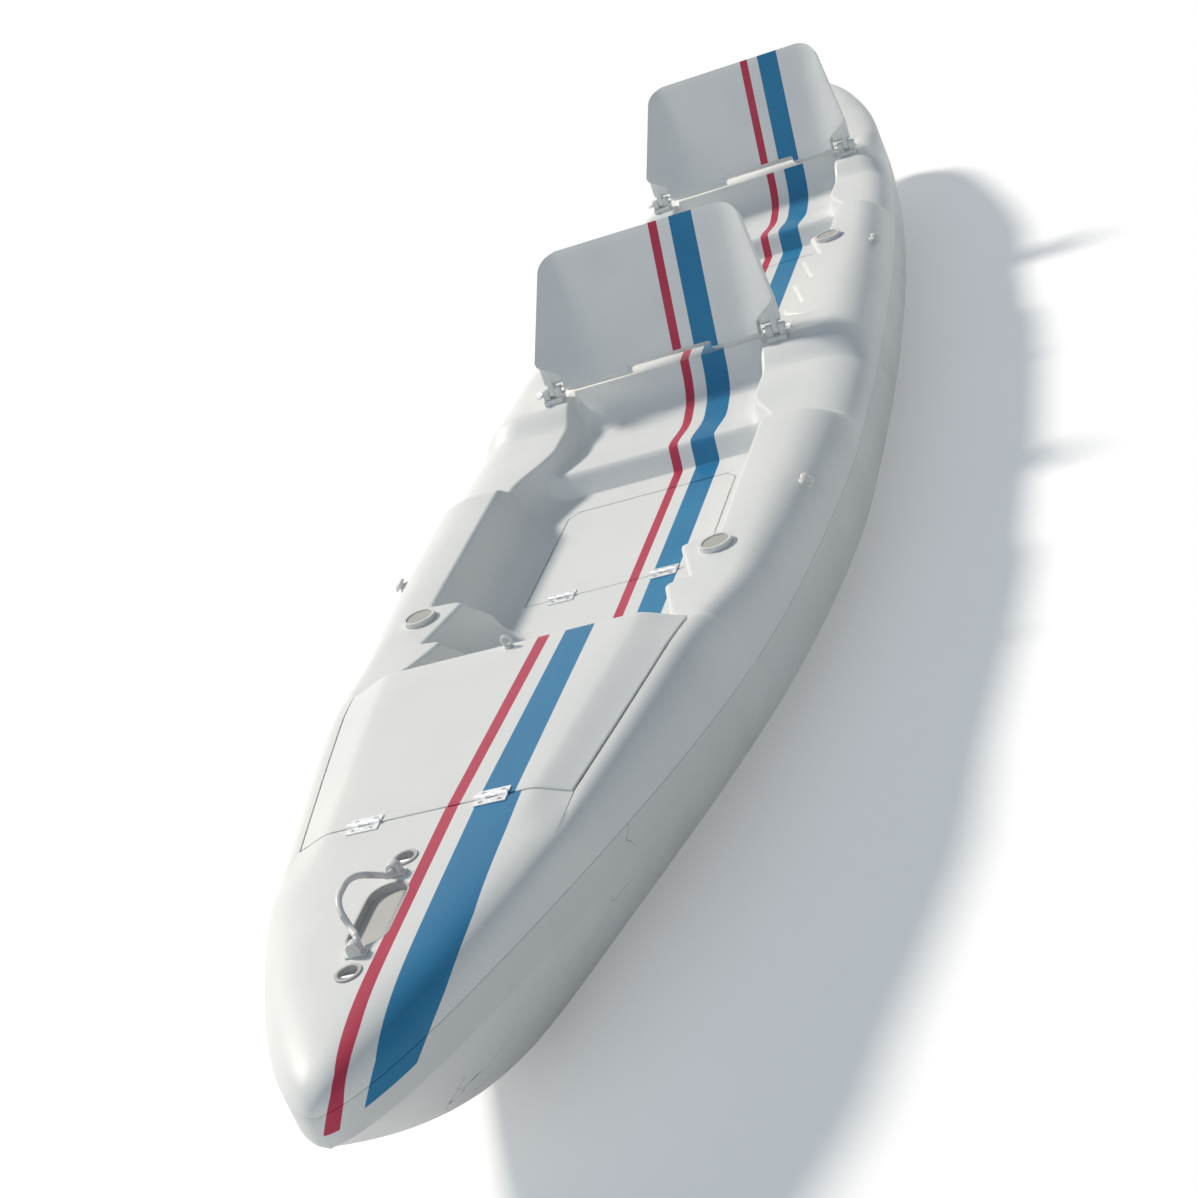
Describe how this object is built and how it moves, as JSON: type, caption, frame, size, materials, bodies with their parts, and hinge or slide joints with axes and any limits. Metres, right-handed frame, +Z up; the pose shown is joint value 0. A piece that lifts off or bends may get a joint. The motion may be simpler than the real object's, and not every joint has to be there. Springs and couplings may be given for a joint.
{
  "type": "tandem kayak",
  "caption": "Tandem sit-in kayak with open cockpits, folding backrests, hinged bow and floor hatches, carry handles, tie-downs and capped rod sockets",
  "frame": {"origin": "bottom centre of the bounding box, under the keel at half length", "axes": "+X to the bow, +Y to port, +Z up"},
  "size_m": [4.56, 0.8708, 0.5972],
  "materials": {
    "hull_gelcoat": "smooth gloss gelcoat",
    "deck_gelcoat": "smooth gloss gelcoat with painted stripes",
    "backrest_gelcoat": "smooth gloss gelcoat with painted stripes",
    "fitting_plastic": "moulded white plastic",
    "stainless_steel": "brushed stainless steel",
    "seal_rubber": "matte black rubber",
    "cap_plastic": "matte grey-beige plastic"
  },
  "bodies": {
    "boat": {"hull_shell": "hull_gelcoat", "deck_shell": "deck_gelcoat", "front_seat_pan": "deck_gelcoat", "front_side_walls": "deck_gelcoat", "front_cockpit_floor": "deck_gelcoat", "rear_seat_pan": "deck_gelcoat", "rear_side_walls": "deck_gelcoat", "rear_cockpit_floor": "deck_gelcoat", "bow_hatch_seal": "seal_rubber", "bow_hinge_fixed_leaves": "stainless_steel", "bow_hinge_pins": "stainless_steel", "bow_hinge_fixed_screws": "stainless_steel", "front_floor_hatch_seal": "seal_rubber", "front_floor_hinge_fixed_leaves": "stainless_steel", "front_floor_hinge_pins": "stainless_steel", "front_floor_hinge_fixed_screws": "stainless_steel", "front_pivot_forks": "fitting_plastic", "front_pivot_bolts": "stainless_steel", "rear_floor_hatch_seal": "seal_rubber", "rear_floor_hinge_fixed_leaves": "stainless_steel", "rear_floor_hinge_pins": "stainless_steel", "rear_floor_hinge_fixed_screws": "stainless_steel", "rear_pivot_forks": "fitting_plastic", "rear_pivot_bolts": "stainless_steel", "bow_handle_lugs": "fitting_plastic", "bow_handle_tray": "fitting_plastic", "bow_tie_down_cups": "fitting_plastic", "bow_tie_down_bars": "stainless_steel", "stern_handle_lugs": "fitting_plastic", "stern_handle_tray": "fitting_plastic", "stern_tie_down_cups": "fitting_plastic", "stern_tie_down_bars": "stainless_steel", "deck_knobs": "fitting_plastic", "deck_knob_screws": "stainless_steel", "rod_sockets": "fitting_plastic"},
    "bow_hatch": {"bow_hatch_lid": "deck_gelcoat", "bow_hatch_eye": "fitting_plastic", "bow_hatch_eye_nut": "stainless_steel", "bow_hinge_lid_leaves": "stainless_steel", "bow_hinge_lid_screws": "stainless_steel"},
    "front_floor_hatch": {"front_floor_hatch_lid": "deck_gelcoat", "front_floor_hinge_lid_leaves": "stainless_steel", "front_floor_hinge_lid_screws": "stainless_steel"},
    "front_back": {"front_backrest": "backrest_gelcoat"},
    "rear_floor_hatch": {"rear_floor_hatch_lid": "deck_gelcoat", "rear_floor_hinge_lid_leaves": "stainless_steel", "rear_floor_hinge_lid_screws": "stainless_steel"},
    "rear_back": {"rear_backrest": "backrest_gelcoat"},
    "bow_bail": {"bow_handle": "fitting_plastic"},
    "stern_bail": {"stern_handle": "fitting_plastic"},
    "front_port_nut": {"front_port_wing_nut": "stainless_steel"},
    "front_port_cap": {"front_port_socket_cap": "cap_plastic"},
    "front_starboard_nut": {"front_starboard_wing_nut": "stainless_steel"},
    "front_starboard_cap": {"front_starboard_socket_cap": "cap_plastic"},
    "rear_port_nut": {"rear_port_wing_nut": "stainless_steel"},
    "rear_port_cap": {"rear_port_socket_cap": "cap_plastic"},
    "rear_starboard_nut": {"rear_starboard_wing_nut": "stainless_steel"},
    "rear_starboard_cap": {"rear_starboard_socket_cap": "cap_plastic"}
  },
  "joints": [
    {"name": "bow_hatch_hinge", "type": "hinge", "parent": "boat", "child": "bow_hatch", "pos_m": [1.69, 0, 0.3857], "axis": [0, 1, 0], "range_deg": [0, 110]},
    {"name": "front_floor_hatch_hinge", "type": "hinge", "parent": "boat", "child": "front_floor_hatch", "pos_m": [0.675, 0, 0.2187], "axis": [0, 1, 0], "range_deg": [0, 100]},
    {"name": "front_backrest_pivot", "type": "hinge", "parent": "boat", "child": "front_back", "pos_m": [-0.08, 0, 0.35], "axis": [0, 1, 0], "range_deg": [-10, 108]},
    {"name": "rear_floor_hatch_hinge", "type": "hinge", "parent": "boat", "child": "rear_floor_hatch", "pos_m": [-0.575, 0, 0.2187], "axis": [0, 1, 0], "range_deg": [0, 100]},
    {"name": "rear_backrest_pivot", "type": "hinge", "parent": "boat", "child": "rear_back", "pos_m": [-1.33, 0, 0.35], "axis": [0, 1, 0], "range_deg": [-10, 108]},
    {"name": "bow_handle_swing", "type": "hinge", "parent": "boat", "child": "bow_bail", "pos_m": [1.94, 0, 0.393], "axis": [1, 0, 0], "range_deg": [-82, 0]},
    {"name": "stern_handle_swing", "type": "hinge", "parent": "boat", "child": "stern_bail", "pos_m": [-1.96, 0, 0.347], "axis": [1, 0, 0], "range_deg": [-82, 0]},
    {"name": "front_port_nut_turn", "type": "hinge", "parent": "boat", "child": "front_port_nut", "pos_m": [-0.08, 0.272, 0.35], "axis": [0, 1, 0], "continuous": true},
    {"name": "front_port_cap_lift", "type": "slide", "parent": "boat", "child": "front_port_cap", "axis": [0, 0, 1], "range_m": [0, 0.06]},
    {"name": "front_starboard_nut_turn", "type": "hinge", "parent": "boat", "child": "front_starboard_nut", "pos_m": [-0.08, -0.272, 0.35], "axis": [0, -1, 0], "continuous": true},
    {"name": "front_starboard_cap_lift", "type": "slide", "parent": "boat", "child": "front_starboard_cap", "axis": [0, 0, 1], "range_m": [0, 0.06]},
    {"name": "rear_port_nut_turn", "type": "hinge", "parent": "boat", "child": "rear_port_nut", "pos_m": [-1.33, 0.272, 0.35], "axis": [0, 1, 0], "continuous": true},
    {"name": "rear_port_cap_lift", "type": "slide", "parent": "boat", "child": "rear_port_cap", "axis": [0, 0, 1], "range_m": [0, 0.06]},
    {"name": "rear_starboard_nut_turn", "type": "hinge", "parent": "boat", "child": "rear_starboard_nut", "pos_m": [-1.33, -0.272, 0.35], "axis": [0, -1, 0], "continuous": true},
    {"name": "rear_starboard_cap_lift", "type": "slide", "parent": "boat", "child": "rear_starboard_cap", "axis": [0, 0, 1], "range_m": [0, 0.06]}
  ]
}
